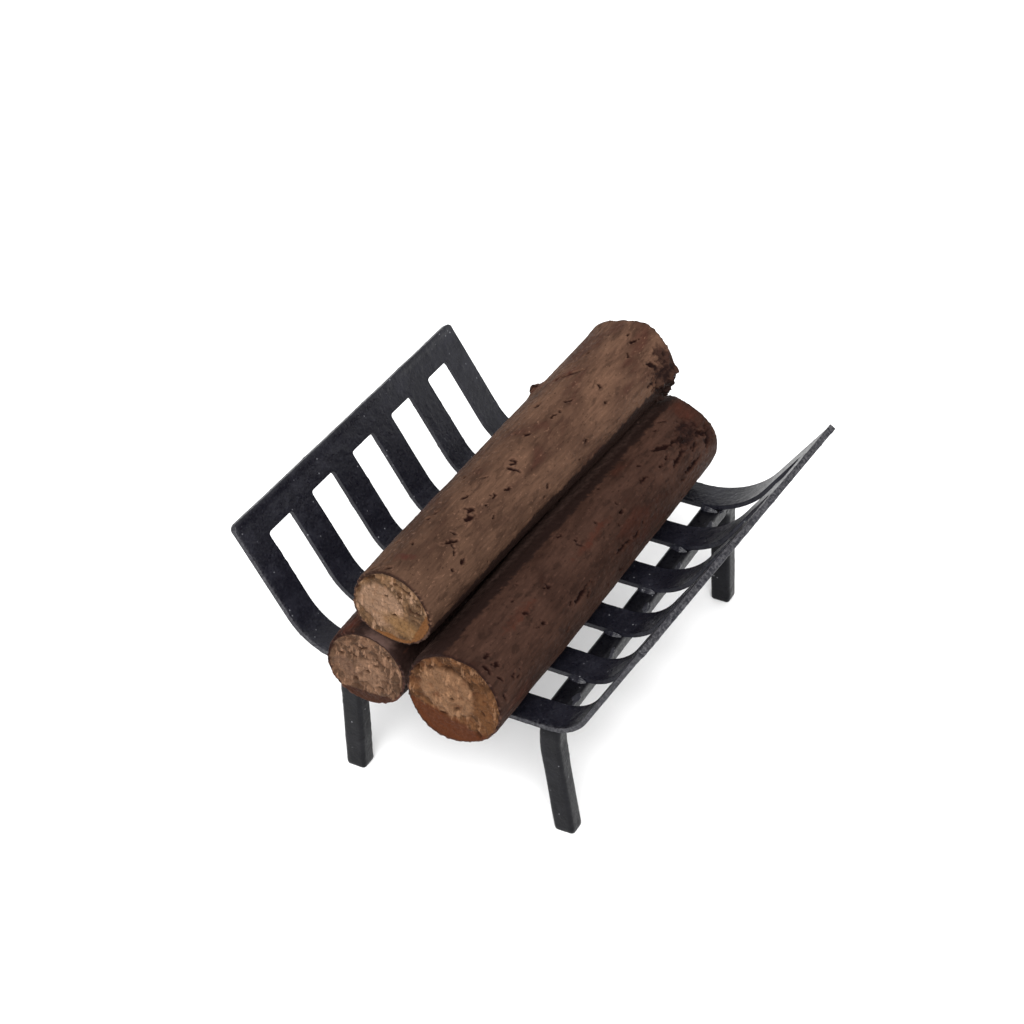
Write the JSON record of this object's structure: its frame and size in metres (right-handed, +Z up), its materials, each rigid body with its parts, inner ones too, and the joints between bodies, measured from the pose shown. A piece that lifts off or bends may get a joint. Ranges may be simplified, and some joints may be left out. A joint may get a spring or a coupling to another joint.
{
  "type": "miniature fire grate with logs",
  "caption": "Dolls' house fire grate: a folded slotted sheet basket on bent bar legs, holding loose bark-covered logs.",
  "frame": {"origin": "the middle of the part's footprint, on the surface its four feet stand on", "axes": "+X along the bars' row, towards the end where the thin ends of the logs are not; -Y the front (hearth) side; +Z up"},
  "size_m": [0.0582, 0.052, 0.0392],
  "materials": {
    "grate_paint": "satin blue-black, lumpy",
    "painted_solder": "satin, thinly painted",
    "bark": "rough brown bark",
    "cut_wood": "sawn end grain"
  },
  "bodies": {
    "grate": {"basket": "grate_paint", "front_leg_bar": "grate_paint", "rear_leg_bar": "grate_paint", "front_leg_solder": "painted_solder", "rear_leg_solder": "painted_solder"},
    "front_log": {"front_log_wood": "cut_wood", "front_log_bark": "bark"},
    "rear_log": {"rear_log_wood": "cut_wood", "rear_log_bark": "bark"},
    "top_log": {"top_log_wood": "cut_wood", "top_log_bark": "bark"}
  },
  "joints": [
    {"name": "top_log_lift", "type": "slide", "parent": "grate", "child": "top_log", "axis": [0, 0, 1], "range_m": [0, 0.03]},
    {"name": "front_log_draw", "type": "slide", "parent": "grate", "child": "front_log", "axis": [-1, 0, 0], "range_m": [0, 0.06]},
    {"name": "rear_log_draw", "type": "slide", "parent": "grate", "child": "rear_log", "axis": [1, 0, 0], "range_m": [0, 0.06]}
  ]
}
